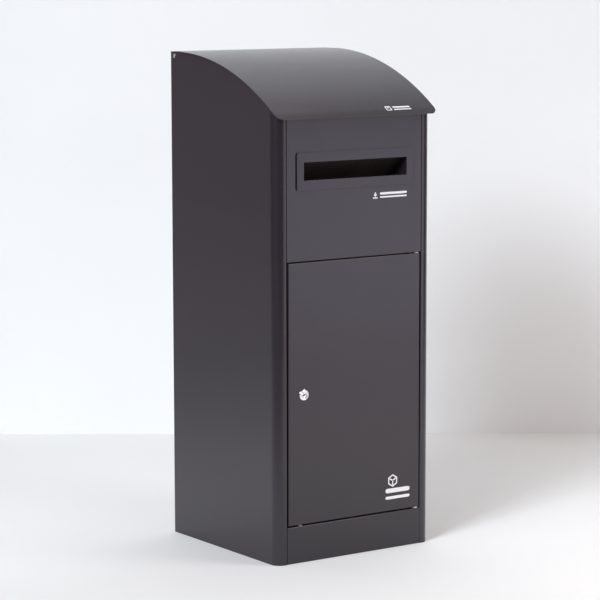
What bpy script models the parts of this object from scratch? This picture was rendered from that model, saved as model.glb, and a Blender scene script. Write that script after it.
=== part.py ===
"""Parcel drop box: a sheet-steel cabinet with a drop-in lid, a letter slot and a lockable door.

Units are metres.  +Z is up, the front faces -Y, and the origin is the middle of the underside.
The lid swings about its rear edge and, through two side links, swings a tray under it, so an
open lid never gives a way down to the compartment behind the door.
"""
import math

import bmesh
import bpy
from mathutils import Vector

MM = 0.001
LEFT, RIGHT = -1, 1
SIDE_NAMES = {LEFT: "left", RIGHT: "right"}

# Cabinet
WIDTH = 378 * MM
DEPTH = 378 * MM
HEIGHT = 1000 * MM
SHEET = 1.5 * MM                    # body panels
PLATE = 2.0 * MM                    # arms, links and cam
GAP = 0.3 * MM                      # kept between pieces that touch
BEND = 2.0 * MM                     # outer radius of a fold
SIDE_X = WIDTH / 2
FRONT_Y = -DEPTH / 2
REAR_Y = DEPTH / 2
INNER_X = SIDE_X - SHEET            # inside face of a side panel
CORNER_RADIUS = 19 * MM             # rounded front corners of the side panels
CORNER_STRIP = 6 * MM             # flat strip between the rounding and the front opening
OPENING_X = SIDE_X - CORNER_RADIUS - CORNER_STRIP
RETURN_DEPTH = 15 * MM              # folded edges behind the front plane
RETURN_Y = FRONT_Y + RETURN_DEPTH
PAN_HEIGHT = 26.5 * MM              # upstand of the base pan
PLINTH_TOP = 74.5 * MM
FASCIA_BOTTOM = 600.2 * MM
FASCIA_TOP = 884 * MM
STOP_LIP = 13.5 * MM                # lips behind the door's top and bottom edges
STOP_LIP_END = 138 * MM             # they end short of the door hinge
REAR_PANEL_TOP = 978.5 * MM
REAR_FOLD = 10 * MM
GUTTER_HALF_WIDTH = 178 * MM
GUTTER_DEPTH = 16 * MM
GUTTER_LIP = 12 * MM
EAR_FRONT = 146 * MM                # the side panels rise to the lid's top behind here
EAR_TOP = HEIGHT - 0.3 * MM
EAR_RAMP = 0.5 * MM
WALL_HOLE_RADIUS = 4.5 * MM         # in the rear panel
WALL_HOLE_X = 130 * MM
WALL_HOLE_HEIGHTS = (150 * MM, 850 * MM)
ANCHOR_HOLE_RADIUS = 5.5 * MM       # in the base pan
ANCHOR_HOLE_X = 130 * MM
ANCHOR_HOLE_Y = 120 * MM
DRILL_REACH = 5 * MM                # how far a drill runs past the sheet it goes through

# Lid: flat at the rear, then one arc down to the front edge
LID_SHEET = 2.0 * MM
LID_RADIUS = 600 * MM
LID_FLAT_Y = 155 * MM               # where the arc starts
LID_SIDE_OVERHANG = 6 * MM
LID_FRONT_OVERHANG = 15.5 * MM
LID_CORNER_RADIUS = 15 * MM
LID_CLEARANCE = 1.0 * MM            # between the lid and the side panels' top edges
LID_REAR = 184 * MM
LID_FLANGE = 20 * MM
LID_FLANGE_HALF_WIDTH = 176 * MM
LID_NOTCH_X = 186.5 * MM            # the lid's rear corners are cut away round the side panels' ears
LID_NOTCH_Y = EAR_FRONT - EAR_RAMP - 1.0 * MM
LID_HALF_WIDTH = SIDE_X + LID_SIDE_OVERHANG
LID_FRONT = FRONT_Y - LID_FRONT_OVERHANG
LID_HINGE = Vector((0, 177 * MM, 991 * MM))
LID_ARM_FRONT = -60 * MM
LID_ARM_NOSE = 12 * MM              # height of the arm's front end
LID_ARM_EYE = 10 * MM               # radius round the link pin
LID_RAIL_Y = -135 * MM
LID_RAIL_HALF_WIDTH = 170 * MM
LID_RAIL_SIZE = (11 * MM, 8 * MM, 12 * MM)      # half width, flange and depth of the hat section
LID_BUFFER_X = 120 * MM
LID_BUFFER_Y = FRONT_Y + 8 * MM
HINGE_HEAD = 1.2 * MM               # the hinge bolts' flat heads
HINGE_HEAD_RADIUS = 4.6 * MM
HINGE_BOLT_END = 178.6 * MM
NUT_RADIUS = 5.7 * MM               # across the corners
NUT_HEIGHT = 3.6 * MM
WASHER_RADIUS = 6.5 * MM
RIVET_HEAD = 1.2 * MM
RIVET_HEAD_RADIUS = 4.8 * MM

# Tray and links: the arm of the lid, the arm of the tray and the two hinges make a parallelogram
TRAY_HINGE = Vector((0, 172 * MM, 700 * MM))
TRAY_REST_TILT = math.radians(80)   # below horizontal, with the lid shut
TRAY_LENGTH = 350 * MM
TRAY_START = 8 * MM
TRAY_NOTCH = 20 * MM                # rear corners cut away round the hinge brackets
TRAY_EDGE = 22 * MM
TRAY_NOTCH_X = 179 * MM
TRAY_ARM_LENGTH = 150 * MM
TRAY_ARM_NOSE = (2 * MM, 18 * MM)   # lower and upper edge of the arm's front end
TRAY_HINGE_EYE = 10 * MM
TRAY_PIN_EYE = 9 * MM
TRAY_RAIL_HALF_WIDTH = 176 * MM
TRAY_RAIL_HEIGHT = 14 * MM
TRAY_RAIL_LEG = 18 * MM
CRANK = 70 * MM                     # hinge to link pin, on the lid and on the tray
CRANK_REST_TILT = math.radians(35)  # below horizontal, with the lid shut
LINK_HALF_WIDTH = 8 * MM
ARM_X = 183 * MM                    # inner face of the lid and tray arms
LINK_X = 180.5 * MM                 # inner face of the links
PIN_RADIUS = 3 * MM
PIN_HOLE = PIN_RADIUS + GAP
ROD_RADIUS = 4 * MM
BRACKET_HALF_HEIGHT = 14 * MM
BRACKET_X = 182 * MM
BRACKET_BASE = 24 * MM
BRACKET_REACH = 12 * MM

# Door
DOOR_GAP_FREE = 3.1 * MM            # beside the door's free edge
DOOR_GAP_HINGE = 2.1 * MM
DOOR_BOTTOM = 77 * MM
DOOR_TOP = 598.5 * MM
DOOR_DEPTH = 13 * MM
DOOR_LIP = 14 * MM                  # inward folds round the back of the door
DOOR_LEFT = -OPENING_X + DOOR_GAP_FREE
DOOR_RIGHT = OPENING_X - DOOR_GAP_HINGE
DOOR_BACK = FRONT_Y + DOOR_DEPTH
DOOR_HINGE = Vector((155 * MM, FRONT_Y + 6 * MM, 0))
DOOR_PIN_RADIUS = 2.5 * MM
DOOR_PIN_ENGAGED = 13 * MM          # pin length past the door's edge
BUSH_BORE = DOOR_PIN_RADIUS + GAP
BUSH_RADIUS = 3.7 * MM
BUSH_FLANGE_RADIUS = 5.8 * MM
DOOR_PIN_HEAD = 2.2 * MM
DOOR_PIN_HEAD_RADIUS = 4 * MM
GLIDE_X = -130 * MM
GLIDE_RADIUS = 4 * MM
DOOR_BUFFER_X = -140 * MM
DOOR_BUFFER_RADIUS = 4 * MM
DOOR_BUFFER_EDGE = 7.5 * MM         # from the fixed panel's edge to the buffer's middle
STIFFENER_SIZE = (18 * MM, 12 * MM, 8 * MM)     # half width, flange and depth of the hat section
STIFFENER_MARGIN = 22 * MM

# Cam lock
LOCK = Vector((-124.5 * MM, FRONT_Y, 337 * MM))
LOCK_FACE_RADIUS = 11 * MM
LOCK_FACE = 2.2 * MM                # thickness of the face flange
BARREL_RADIUS = 9 * MM
BARREL_END = 14.4 * MM              # behind the front plane
PLUG_RADIUS = 6.2 * MM
PLUG_BORE = PLUG_RADIUS + GAP
CAM_Y = FRONT_Y + 15.4 * MM
CAM_REACH = 46 * MM
CAM_HALF_WIDTH = 7 * MM
CAM_EYE = 8 * MM
SCREW_HOLE = 2.3 * MM
KEYWAY_TILT = math.radians(10)
KEYWAY = (8.4 * MM, 1.6 * MM, 7 * MM)           # length, width and depth

# Letter slot
SLOT_Z = 776.3 * MM
SLOT_WIDTH = 250 * MM
SLOT_HEIGHT = 35.5 * MM
BEZEL_WIDTH = 283 * MM
BEZEL_HEIGHT = 73.5 * MM
BEZEL_THICKNESS = 2.7 * MM
BEZEL_CORNER = 4.5 * MM
COLLAR = 1.2 * MM                   # wall of the collar that lines the slot
COLLAR_DEPTH = 12 * MM              # behind the bezel's plate
CHUTE_DEPTH = 47 * MM
CHUTE_BOTTOM = 725 * MM
CHUTE_MARGIN = COLLAR + GAP + SHEET             # round the slot
CHUTE_SLOPE_START = 14 * MM
CHUTE_SLOPE_DROP = 52 * MM

ROUND_STEPS = 24
BEND_STEPS = 3
MERGE = 1e-6

FINISHES = {  # base colour, roughness, metallic
    "powder_coat": ((0.045, 0.042, 0.049, 1), 0.5, 0.0),
    "zinc_plate": ((0.55, 0.56, 0.57, 1), 0.35, 1.0),
    "chrome": ((0.80, 0.80, 0.81, 1), 0.12, 1.0),
    "nylon": ((0.75, 0.74, 0.71, 1), 0.45, 0.0),
    "rubber": ((0.02, 0.02, 0.02, 1), 0.8, 0.0),
}


# ---------------------------------------------------------------- outlines in a plane

def rounded(corners, steps=BEND_STEPS):
    """Turn corners (u, v, radius) into points, each corner with a radius becoming an arc."""
    points = []
    for index, (u, v, radius) in enumerate(corners):
        corner = Vector((u, v))
        if radius == 0:
            points.append(corner)
            continue
        back = (Vector(corners[index - 1][:2]) - corner).normalized()
        ahead = (Vector(corners[(index + 1) % len(corners)][:2]) - corner).normalized()
        half_angle = back.angle(ahead) / 2
        centre = corner + (back + ahead).normalized() * radius / math.sin(half_angle)
        start = corner + back * radius / math.tan(half_angle) - centre
        turn = math.copysign(math.pi - 2 * half_angle, ahead.cross(back))
        for step in range(steps + 1):
            angle = turn * step / steps
            spoke = Vector((start.x * math.cos(angle) - start.y * math.sin(angle),
                            start.x * math.sin(angle) + start.y * math.cos(angle)))
            points.append(centre + spoke)
    return points


def shifted(path, distance):
    """Move an open path sideways, to its left for a positive distance, mitring its corners."""
    lefts = []
    for start, end in zip(path, path[1:]):
        heading = (end - start).normalized()
        lefts.append(Vector((-heading.y, heading.x)))
    result = []
    for point, before, after in zip(path, lefts[:1] + lefts, lefts + lefts[-1:]):
        result.append(point + (before + after) / (1 + before.dot(after)) * distance)
    return result


def folded(corners, thickness):
    """Outline of folded sheet: `corners` is one face, and the other lies `thickness` to its left."""
    face = rounded(corners)
    return face + shifted(face, thickness)[::-1]


def rectangle(low_u, low_v, high_u, high_v, radius=0.0):
    corners = [(low_u, low_v), (high_u, low_v), (high_u, high_v), (low_u, high_v)]
    return rounded([(u, v, radius) for u, v in corners])


def circle(centre, radius, steps=ROUND_STEPS):
    angles = [math.tau * step / steps for step in range(steps)]
    return [Vector((centre[0] + radius * math.cos(a), centre[1] + radius * math.sin(a))) for a in angles]


def hull(points):
    """Convex outline round a set of points."""
    ordered = sorted((point[0], point[1]) for point in points)
    outline = []
    for sweep in (ordered, ordered[::-1]):
        chain = []
        for point in sweep:
            while len(chain) > 1:
                first = Vector(chain[-1]) - Vector(chain[-2])
                second = Vector(point) - Vector(chain[-1])
                if first.cross(second) > 1e-12:
                    break
                chain.pop()
            chain.append(point)
        outline += chain[:-1]
    return outline


# ---------------------------------------------------------------- solids

def place(axis, level, u, v):
    """A 3-D point from a level along `axis` and a point in the plane across it."""
    return Vector({"X": (level, u, v), "Y": (u, level, v), "Z": (u, v, level)}[axis])


def prism(outline, axis, low, high):
    """A flat outline extruded along an axis."""
    bm = bmesh.new()
    face = bm.faces.new([bm.verts.new(place(axis, low, *point)) for point in outline])
    swept = bmesh.ops.extrude_face_region(bm, geom=[face])["geom"]
    far_end = [item for item in swept if isinstance(item, bmesh.types.BMVert)]
    bmesh.ops.translate(bm, verts=far_end, vec=place(axis, high - low, 0, 0))
    return bm


def slab(low, high):
    return prism(rectangle(low[0], low[1], high[0], high[1]), "Z", low[2], high[2])


def turned(profile, axis, centre):
    """A profile of (radius, level) points spun about a line along `axis`, hollow if it has a bore."""
    bm = bmesh.new()
    verts = [bm.verts.new(place(axis, level, centre[0] + radius, centre[1])) for radius, level in profile]
    edges = [bm.edges.new(pair) for pair in zip(verts, verts[1:])]
    if profile[0][0] > 0:
        edges.append(bm.edges.new((verts[-1], verts[0])))
    bmesh.ops.spin(bm, geom=verts + edges, cent=place(axis, 0, *centre), axis=place(axis, 1, 0, 0),
                   angle=math.tau, steps=ROUND_STEPS)
    bmesh.ops.remove_doubles(bm, verts=bm.verts, dist=MERGE)
    return bm


def ladder(sections):
    """A closed bar through a list of sections, each one a loop of the same number of points."""
    bm = bmesh.new()
    loops = [[bm.verts.new(point) for point in section] for section in sections]
    count = len(loops[0])
    for near, far in zip(loops, loops[1:]):
        for i in range(count):
            j = (i + 1) % count
            bm.faces.new((near[i], near[j], far[j], far[i]))
    bm.faces.new(loops[0])
    bm.faces.new(loops[-1])
    return bm


# ---------------------------------------------------------------- objects

def clear_scene():
    for old in list(bpy.data.objects):
        bpy.data.objects.remove(old, do_unlink=True)


def material(finish):
    existing = bpy.data.materials.get(finish)
    if existing:
        return existing
    colour, roughness, metallic = FINISHES[finish]
    made = bpy.data.materials.new(finish)
    made.use_nodes = True
    shader = made.node_tree.nodes["Principled BSDF"]
    shader.inputs["Base Color"].default_value = colour
    shader.inputs["Roughness"].default_value = roughness
    shader.inputs["Metallic"].default_value = metallic
    return made


def pivot(name, location, tilt=0.0, parent=None):
    """An empty on a joint's axis that its moving pieces hang from."""
    empty = bpy.data.objects.new(name, None)
    bpy.context.collection.objects.link(empty)
    empty.location = Vector(location) - (parent.location if parent else Vector())
    empty.rotation_euler.x = tilt
    empty.parent = parent
    empty["model_origin"] = tuple(location) if tilt == 0 else (0.0, 0.0, 0.0)
    return empty


def add(name, bm, finish, parent=None):
    """Make an object; its shape is in cabinet coordinates, or the tray's own under a tilted pivot."""
    bmesh.ops.recalc_face_normals(bm, faces=bm.faces)
    if parent:
        bmesh.ops.translate(bm, verts=bm.verts, vec=-Vector(parent["model_origin"]))
    mesh = bpy.data.meshes.new(name)
    bm.to_mesh(mesh)
    bm.free()
    mesh.shade_smooth()
    mesh.set_sharp_from_angle(angle=math.radians(30))
    obj = bpy.data.objects.new(name, mesh)
    bpy.context.collection.objects.link(obj)
    obj.parent = parent
    if finish:
        mesh.materials.append(material(finish))
    return obj


def cut(target, bm, operation="DIFFERENCE"):
    """Take a shape out of an object; the shape stays in the scene as a hidden cutter."""
    index = sum(modifier.type == "BOOLEAN" for modifier in target.modifiers) + 1
    cutter = add(f"{target.name}_cutter_{index}", bm, None, target.parent)
    cutter.hide_render = True
    cutter.display_type = "WIRE"
    modifier = target.modifiers.new(cutter.name, "BOOLEAN")
    modifier.operation = operation
    modifier.object = cutter


def join(target, bm):
    """Add a shape to an object, in the same way."""
    cut(target, bm, "UNION")


def drill(target, axis, centre, radius, low, high):
    cut(target, prism(circle(centre, radius), axis, low, high))


def between(side, near_x, far_x):
    """The two X levels of a span on one side of the cabinet, lowest first."""
    return sorted((side * near_x, side * far_x))


# ---------------------------------------------------------------- lid curve and linkage

def lid_height(y, below=0.0):
    """Height of the lid's outer face at depth y, or of the parallel face `below` it."""
    run = min(y - LID_FLAT_Y, 0.0)
    return HEIGHT - LID_RADIUS + math.sqrt((LID_RADIUS - below) ** 2 - run ** 2)


def crank_end(hinge):
    """The link pin's (y, z) on an arm of the linkage, with the lid shut."""
    return (hinge.y - CRANK * math.cos(CRANK_REST_TILT), hinge.z - CRANK * math.sin(CRANK_REST_TILT))


def tray_crank_end():
    """The same pin in the tray's own coordinates: hinge at the origin, tray level along -Y."""
    lift = TRAY_REST_TILT - CRANK_REST_TILT
    return (-CRANK * math.cos(lift), CRANK * math.sin(lift))


# ---------------------------------------------------------------- cabinet

def side_panel_top(y):
    """Height of a side panel at depth y: just under the lid, or up to its top in the rear ear."""
    return EAR_TOP if y > EAR_FRONT - EAR_RAMP / 2 else lid_height(y, LID_SHEET + LID_CLEARANCE)


def make_side_panel(side):
    """Flat side, rounded front corner, narrow front strip and a return fold, under the lid's curve."""
    steps = 18
    straight_start = EAR_FRONT - EAR_RAMP
    straight_end = FRONT_Y + CORNER_RADIUS * 1.1
    x = side * SIDE_X
    plan = [(x, REAR_Y, 0), (x, EAR_FRONT, 0)]
    plan += [(x, straight_start + (straight_end - straight_start) * step / steps, 0) for step in range(steps + 1)]
    plan += [(x, FRONT_Y, CORNER_RADIUS), (side * OPENING_X, FRONT_Y, BEND), (side * OPENING_X, RETURN_Y, 0)]
    outer = rounded(plan, steps=8)
    inner = shifted(outer, -side * SHEET)
    sections = []
    for out, into in zip(outer, inner):
        low = [Vector((*out, 0)), Vector((*into, 0))]
        high = [Vector((*into, side_panel_top(into.y))), Vector((*out, side_panel_top(out.y)))]
        sections.append(low + high)
    panel = add(f"{SIDE_NAMES[side]}_side_panel", ladder(sections), "powder_coat")
    drill(panel, "X", LID_HINGE.yz, PIN_HOLE, *between(side, INNER_X - DRILL_REACH, SIDE_X + DRILL_REACH))


def make_rear_panel():
    half = INNER_X - GAP
    plan = [(half, REAR_Y - REAR_FOLD, 0), (half, REAR_Y, BEND), (-half, REAR_Y, BEND),
            (-half, REAR_Y - REAR_FOLD, 0)]
    panel = add("rear_panel", prism(folded(plan, SHEET), "Z", PAN_HEIGHT + GAP, REAR_PANEL_TOP), "powder_coat")
    for x in (-WALL_HOLE_X, WALL_HOLE_X):
        for z in WALL_HOLE_HEIGHTS:
            drill(panel, "Y", (x, z), WALL_HOLE_RADIUS, REAR_Y - DRILL_REACH, REAR_Y + DRILL_REACH)


def make_rear_gutter():
    """A channel that catches rain from behind the lid and stiffens the rear panel's top edge."""
    back = REAR_Y - SHEET - GAP
    top = REAR_PANEL_TOP
    profile = [(back, top, 0), (back, top - GUTTER_DEPTH, BEND), (back - GUTTER_DEPTH, top - GUTTER_DEPTH, BEND),
               (back - GUTTER_DEPTH, top - GUTTER_DEPTH + GUTTER_LIP, 0)]
    add("rear_gutter", prism(folded(profile, -SHEET), "X", -GUTTER_HALF_WIDTH, GUTTER_HALF_WIDTH), "powder_coat")


def make_base_pan():
    front = RETURN_Y + SHEET + GAP
    half = INNER_X - GAP
    pan = add("base_pan", slab((-half, front, 0), (half, REAR_Y, PAN_HEIGHT)), "powder_coat")
    cut(pan, slab((-half + SHEET, front + SHEET, SHEET), (half - SHEET, REAR_Y - SHEET, PAN_HEIGHT + SHEET)))
    for x in (-ANCHOR_HOLE_X, ANCHOR_HOLE_X):
        for y in (-ANCHOR_HOLE_Y, ANCHOR_HOLE_Y):
            drill(pan, "Z", (x, y), ANCHOR_HOLE_RADIUS, -DRILL_REACH, DRILL_REACH)


def stop_lip_trim(low_z, high_z):
    """Shape that ends a stop lip before the door hinge."""
    return slab((STOP_LIP_END, RETURN_Y - SHEET, low_z), (OPENING_X + SHEET, RETURN_Y + 3 * SHEET, high_z))


def make_plinth():
    """Fixed panel under the door, with a lip behind the door's bottom edge."""
    half = OPENING_X - GAP
    profile = [(RETURN_Y, 0, 0), (FRONT_Y, 0, BEND), (FRONT_Y, PLINTH_TOP, BEND),
               (RETURN_Y, PLINTH_TOP, BEND - SHEET), (RETURN_Y, PLINTH_TOP + STOP_LIP, 0)]
    plinth = add("front_plinth", prism(folded(profile, -SHEET), "X", -half, half), "powder_coat")
    cut(plinth, stop_lip_trim(PLINTH_TOP + BEND / 2, PLINTH_TOP + 2 * STOP_LIP))
    drill(plinth, "Z", DOOR_HINGE.xy, BUSH_BORE, PLINTH_TOP - DRILL_REACH, PLINTH_TOP + DRILL_REACH)


def make_fascia():
    """Fixed panel above the door with the letter opening, and a lip behind the door's top edge."""
    half = OPENING_X - GAP
    profile = [(RETURN_Y, FASCIA_TOP, 0), (FRONT_Y, FASCIA_TOP, BEND), (FRONT_Y, FASCIA_BOTTOM, BEND),
               (RETURN_Y, FASCIA_BOTTOM, BEND - SHEET), (RETURN_Y, FASCIA_BOTTOM - STOP_LIP, 0)]
    fascia = add("letter_fascia", prism(folded(profile, SHEET), "X", -half, half), "powder_coat")
    cut(fascia, stop_lip_trim(FASCIA_BOTTOM - 2 * STOP_LIP, FASCIA_BOTTOM - BEND / 2))
    drill(fascia, "Z", DOOR_HINGE.xy, BUSH_BORE, FASCIA_BOTTOM - DRILL_REACH, FASCIA_BOTTOM + DRILL_REACH)
    cut(fascia, prism(slot_outline(COLLAR + GAP), "Y", FRONT_Y - DRILL_REACH, FRONT_Y + DRILL_REACH))


def slot_outline(margin):
    """The slot's outline, or one that stands off it by a margin."""
    half_width, half_height = SLOT_WIDTH / 2 + margin, SLOT_HEIGHT / 2 + margin
    return rectangle(-half_width, SLOT_Z - half_height, half_width, SLOT_Z + half_height)


def make_letter_bezel():
    """Raised plate round the letter slot, with a collar that lines the slot."""
    outline = rectangle(-BEZEL_WIDTH / 2, SLOT_Z - BEZEL_HEIGHT / 2, BEZEL_WIDTH / 2,
                        SLOT_Z + BEZEL_HEIGHT / 2, BEZEL_CORNER)
    back = FRONT_Y - GAP
    bezel = add("letter_bezel", prism(outline, "Y", back - BEZEL_THICKNESS, back), "powder_coat")
    join(bezel, prism(slot_outline(COLLAR), "Y", back - BEZEL_THICKNESS / 2, back + COLLAR_DEPTH))
    cut(bezel, prism(slot_outline(0), "Y", back - 2 * BEZEL_THICKNESS, back + 2 * COLLAR_DEPTH))


def chute_outline(front, inset):
    """Side view of the letter chute, or of its hollow when inset by the sheet's thickness."""
    back = FRONT_Y + CHUTE_DEPTH + SHEET - inset
    top = SLOT_Z + SLOT_HEIGHT / 2 + CHUTE_MARGIN - inset
    slope_start = FRONT_Y + SHEET + GAP + CHUTE_SLOPE_START - inset / 2
    low = CHUTE_BOTTOM - 4 * inset
    return [(front, low), (back, low), (back, top - CHUTE_SLOPE_DROP), (slope_start, top), (front, top)]


def make_letter_chute():
    """Sloping hood behind the slot that turns letters downwards and stops a hand from reaching in."""
    half = SLOT_WIDTH / 2 + CHUTE_MARGIN
    front = FRONT_Y + SHEET + GAP
    chute = add("letter_chute", prism(chute_outline(front, 0), "X", -half, half), "powder_coat")
    hollow = chute_outline(front - SHEET, SHEET)
    cut(chute, prism(hollow, "X", -half + SHEET, half - SHEET))


def make_tray_bracket(side):
    """Angle bracket on the rear panel that carries the tray's rod."""
    back = REAR_Y - SHEET - GAP
    plan = [(side * (BRACKET_X - BRACKET_BASE), back, 0), (side * BRACKET_X, back, BEND),
            (side * BRACKET_X, TRAY_HINGE.y - BRACKET_REACH, 0)]
    low, high = TRAY_HINGE.z - BRACKET_HALF_HEIGHT, TRAY_HINGE.z + BRACKET_HALF_HEIGHT
    name = f"tray_bracket_{SIDE_NAMES[side]}"
    bracket = add(name, prism(folded(plan, -side * SHEET), "Z", low, high), "zinc_plate")
    span = between(side, BRACKET_X - DRILL_REACH, BRACKET_X + DRILL_REACH)
    drill(bracket, "X", TRAY_HINGE.yz, ROD_RADIUS + GAP, *span)


def make_tray_rod():
    end = INNER_X - 2 * GAP
    chamfer = 0.8 * MM
    profile = [(0, -end), (ROD_RADIUS - chamfer, -end), (ROD_RADIUS, -end + chamfer),
               (ROD_RADIUS, end - chamfer), (ROD_RADIUS - chamfer, end), (0, end)]
    add("tray_pivot_rod", turned(profile, "X", TRAY_HINGE.yz), "zinc_plate")


def make_lid_hinge(side):
    """Bolt through the side panel and the lid's arm, its nut, and a washer between the two plates."""
    name = SIDE_NAMES[side]
    seat = SIDE_X + GAP
    face = seat + HINGE_HEAD
    profile = [(0, side * face), (0.75 * HINGE_HEAD_RADIUS, side * face),
               (HINGE_HEAD_RADIUS, side * (seat + 0.5 * HINGE_HEAD)), (HINGE_HEAD_RADIUS, side * seat),
               (PIN_RADIUS, side * seat), (PIN_RADIUS, side * HINGE_BOLT_END), (0, side * HINGE_BOLT_END)]
    add(f"lid_hinge_bolt_{name}", turned(profile, "X", LID_HINGE.yz), "zinc_plate")
    nut_face = ARM_X - GAP
    hexagon = circle(LID_HINGE.yz, NUT_RADIUS, steps=6)
    nut = add(f"lid_hinge_nut_{name}", prism(hexagon, "X", *between(side, nut_face - NUT_HEIGHT, nut_face)),
              "zinc_plate")
    drill(nut, "X", LID_HINGE.yz, PIN_HOLE, *between(side, nut_face - 2 * NUT_HEIGHT, nut_face + NUT_HEIGHT))
    inside, outside = ARM_X + PLATE + GAP, INNER_X - GAP
    ring = [(PIN_HOLE, side * inside), (WASHER_RADIUS, side * inside), (WASHER_RADIUS, side * outside),
            (PIN_HOLE, side * outside)]
    add(f"lid_hinge_washer_{name}", turned(ring, "X", LID_HINGE.yz), "nylon")


def make_lid_buffer(side):
    """Rubber foot on the fascia's top fold that the shut lid rests on."""
    foot = FASCIA_TOP + GAP
    radius, height = 5 * MM, 6.4 * MM
    profile = [(0, foot), (radius, foot), (radius, foot + 0.6 * height), (0.7 * radius, foot + 0.9 * height),
               (0, foot + height)]
    add(f"lid_buffer_{SIDE_NAMES[side]}", turned(profile, "Z", (side * LID_BUFFER_X, LID_BUFFER_Y)), "rubber")


def make_door_pin(name, edge, up):
    """Hinge pin through a fold at height `edge` (its far face), pointing up or down into the door."""
    door_edge = DOOR_BOTTOM if up > 0 else DOOR_TOP
    tip = door_edge + up * DOOR_PIN_ENGAGED
    seat = edge - up * (SHEET + GAP)
    face = seat - up * DOOR_PIN_HEAD
    chamfer = 0.8 * MM
    profile = [(0, face), (DOOR_PIN_HEAD_RADIUS, face), (DOOR_PIN_HEAD_RADIUS, seat),
               (DOOR_PIN_RADIUS, seat), (DOOR_PIN_RADIUS, tip - up * chamfer),
               (DOOR_PIN_RADIUS - chamfer, tip), (0, tip)]
    add(name, turned(profile, "Z", DOOR_HINGE.xy), "zinc_plate")


def make_door_glide():
    """Nylon button on the plinth that takes the weight of the shut door's free side."""
    foot = PLINTH_TOP + GAP
    top = DOOR_BOTTOM - GAP
    profile = [(0, foot), (GLIDE_RADIUS, foot), (GLIDE_RADIUS, foot + 0.5 * (top - foot)),
               (0.7 * GLIDE_RADIUS, top), (0, top)]
    add("door_glide", turned(profile, "Z", (GLIDE_X, DOOR_HINGE.y)), "nylon")


def make_door_buffer(name, z):
    """Rubber disc on a stop lip, behind the door's free edge."""
    back, front = RETURN_Y - GAP, DOOR_BACK + GAP
    profile = [(0, back), (DOOR_BUFFER_RADIUS, back), (DOOR_BUFFER_RADIUS, front), (0, front)]
    add(name, turned(profile, "Y", (DOOR_BUFFER_X, z)), "rubber")


# ---------------------------------------------------------------- lid

def lid_half_width(y):
    """Half the lid's width at depth y, with its front corners rounded in plan."""
    from_front = min(max(y - LID_FRONT, 0.0), LID_CORNER_RADIUS)
    rounding = math.sqrt(LID_CORNER_RADIUS ** 2 - (LID_CORNER_RADIUS - from_front) ** 2)
    return LID_HALF_WIDTH - LID_CORNER_RADIUS + rounding


def make_lid_sheet(parent):
    """One rolled sheet with a down-turned rear flange between the side panels."""
    arc_steps, corner_steps = 20, 6
    arc_end = LID_FRONT + LID_CORNER_RADIUS
    depths = [LID_FLAT_Y + (arc_end - LID_FLAT_Y) * step / arc_steps for step in range(arc_steps + 1)]
    for step in range(1, corner_steps + 1):
        angle = math.pi / 2 * step / corner_steps
        depths.append(arc_end - LID_CORNER_RADIUS * math.sin(angle))
    bend = LID_SHEET + 0.5 * MM
    profile = [(LID_REAR, HEIGHT - LID_FLANGE, 0), (LID_REAR, HEIGHT, bend)]
    outer = rounded(profile + [(y, lid_height(y), 0) for y in depths])
    inner = shifted(outer, LID_SHEET)
    sections = []
    for out, into in zip(outer, inner):
        half = lid_half_width(out.x)
        corners = ((-half, out), (half, out), (half, into), (-half, into))
        sections.append([Vector((x, *point)) for x, point in corners])
    lid = add("lid_sheet", ladder(sections), "powder_coat", parent)
    flange_top = HEIGHT - LID_SHEET - 0.1 * MM
    beyond = LID_HALF_WIDTH + SHEET
    for side in (LEFT, RIGHT):
        low_x, high_x = between(side, LID_FLANGE_HALF_WIDTH, beyond)
        cut(lid, slab((low_x, LID_REAR - 2 * LID_SHEET, HEIGHT - 2 * LID_FLANGE),
                      (high_x, LID_REAR + LID_SHEET, flange_top)))
        low_x, high_x = between(side, LID_NOTCH_X, beyond)
        cut(lid, slab((low_x, LID_NOTCH_Y, HEIGHT - 2 * LID_SHEET), (high_x, LID_REAR + SHEET, HEIGHT + SHEET)))


def make_lid_arm(side, parent):
    """Plate under the lid's edge that carries the hinge and the link pin."""
    under = LID_SHEET + GAP
    eye_radius = HEIGHT - under - LID_HINGE.z
    pin = crank_end(LID_HINGE)
    outline = circle(LID_HINGE.yz, eye_radius) + circle(pin, LID_ARM_EYE)
    steps = 12
    for step in range(steps + 1):
        y = LID_HINGE.y + (LID_ARM_FRONT - LID_HINGE.y) * step / steps
        outline.append((y, lid_height(y, under)))
    outline.append((LID_ARM_FRONT, lid_height(LID_ARM_FRONT, under) - LID_ARM_NOSE))
    span = between(side, ARM_X, ARM_X + PLATE)
    arm = add(f"lid_arm_{SIDE_NAMES[side]}", prism(hull(outline), "X", *span), "zinc_plate", parent)
    for centre in (LID_HINGE.yz, pin):
        drill(arm, "X", centre, PIN_HOLE, span[0] - PLATE, span[1] + PLATE)


def hat_profile(half_width, flange, depth):
    """Hat section, open side up, with the tops of its flanges at level 0."""
    inner_bend = BEND - SHEET
    return folded([(-half_width - flange, 0, 0), (-half_width, 0, BEND), (-half_width, -depth, inner_bend),
                   (half_width, -depth, inner_bend), (half_width, 0, BEND), (half_width + flange, 0, 0)], -SHEET)


def make_lid_rail(parent):
    """Hat section across the lid's underside, following its slope."""
    slope = math.asin((LID_FLAT_Y - LID_RAIL_Y) / LID_RADIUS)
    sagitta = 0.4 * MM
    reach = LID_RADIUS - LID_SHEET - GAP - sagitta
    along = Vector((math.cos(slope), math.sin(slope)))
    up = Vector((-math.sin(slope), math.cos(slope)))
    foot = Vector((LID_FLAT_Y, HEIGHT - LID_RADIUS)) + up * reach
    outline = [foot + along * u + up * v for u, v in hat_profile(*LID_RAIL_SIZE)]
    rail = prism(outline, "X", -LID_RAIL_HALF_WIDTH, LID_RAIL_HALF_WIDTH)
    add("lid_front_rail", rail, "powder_coat", parent)


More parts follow.
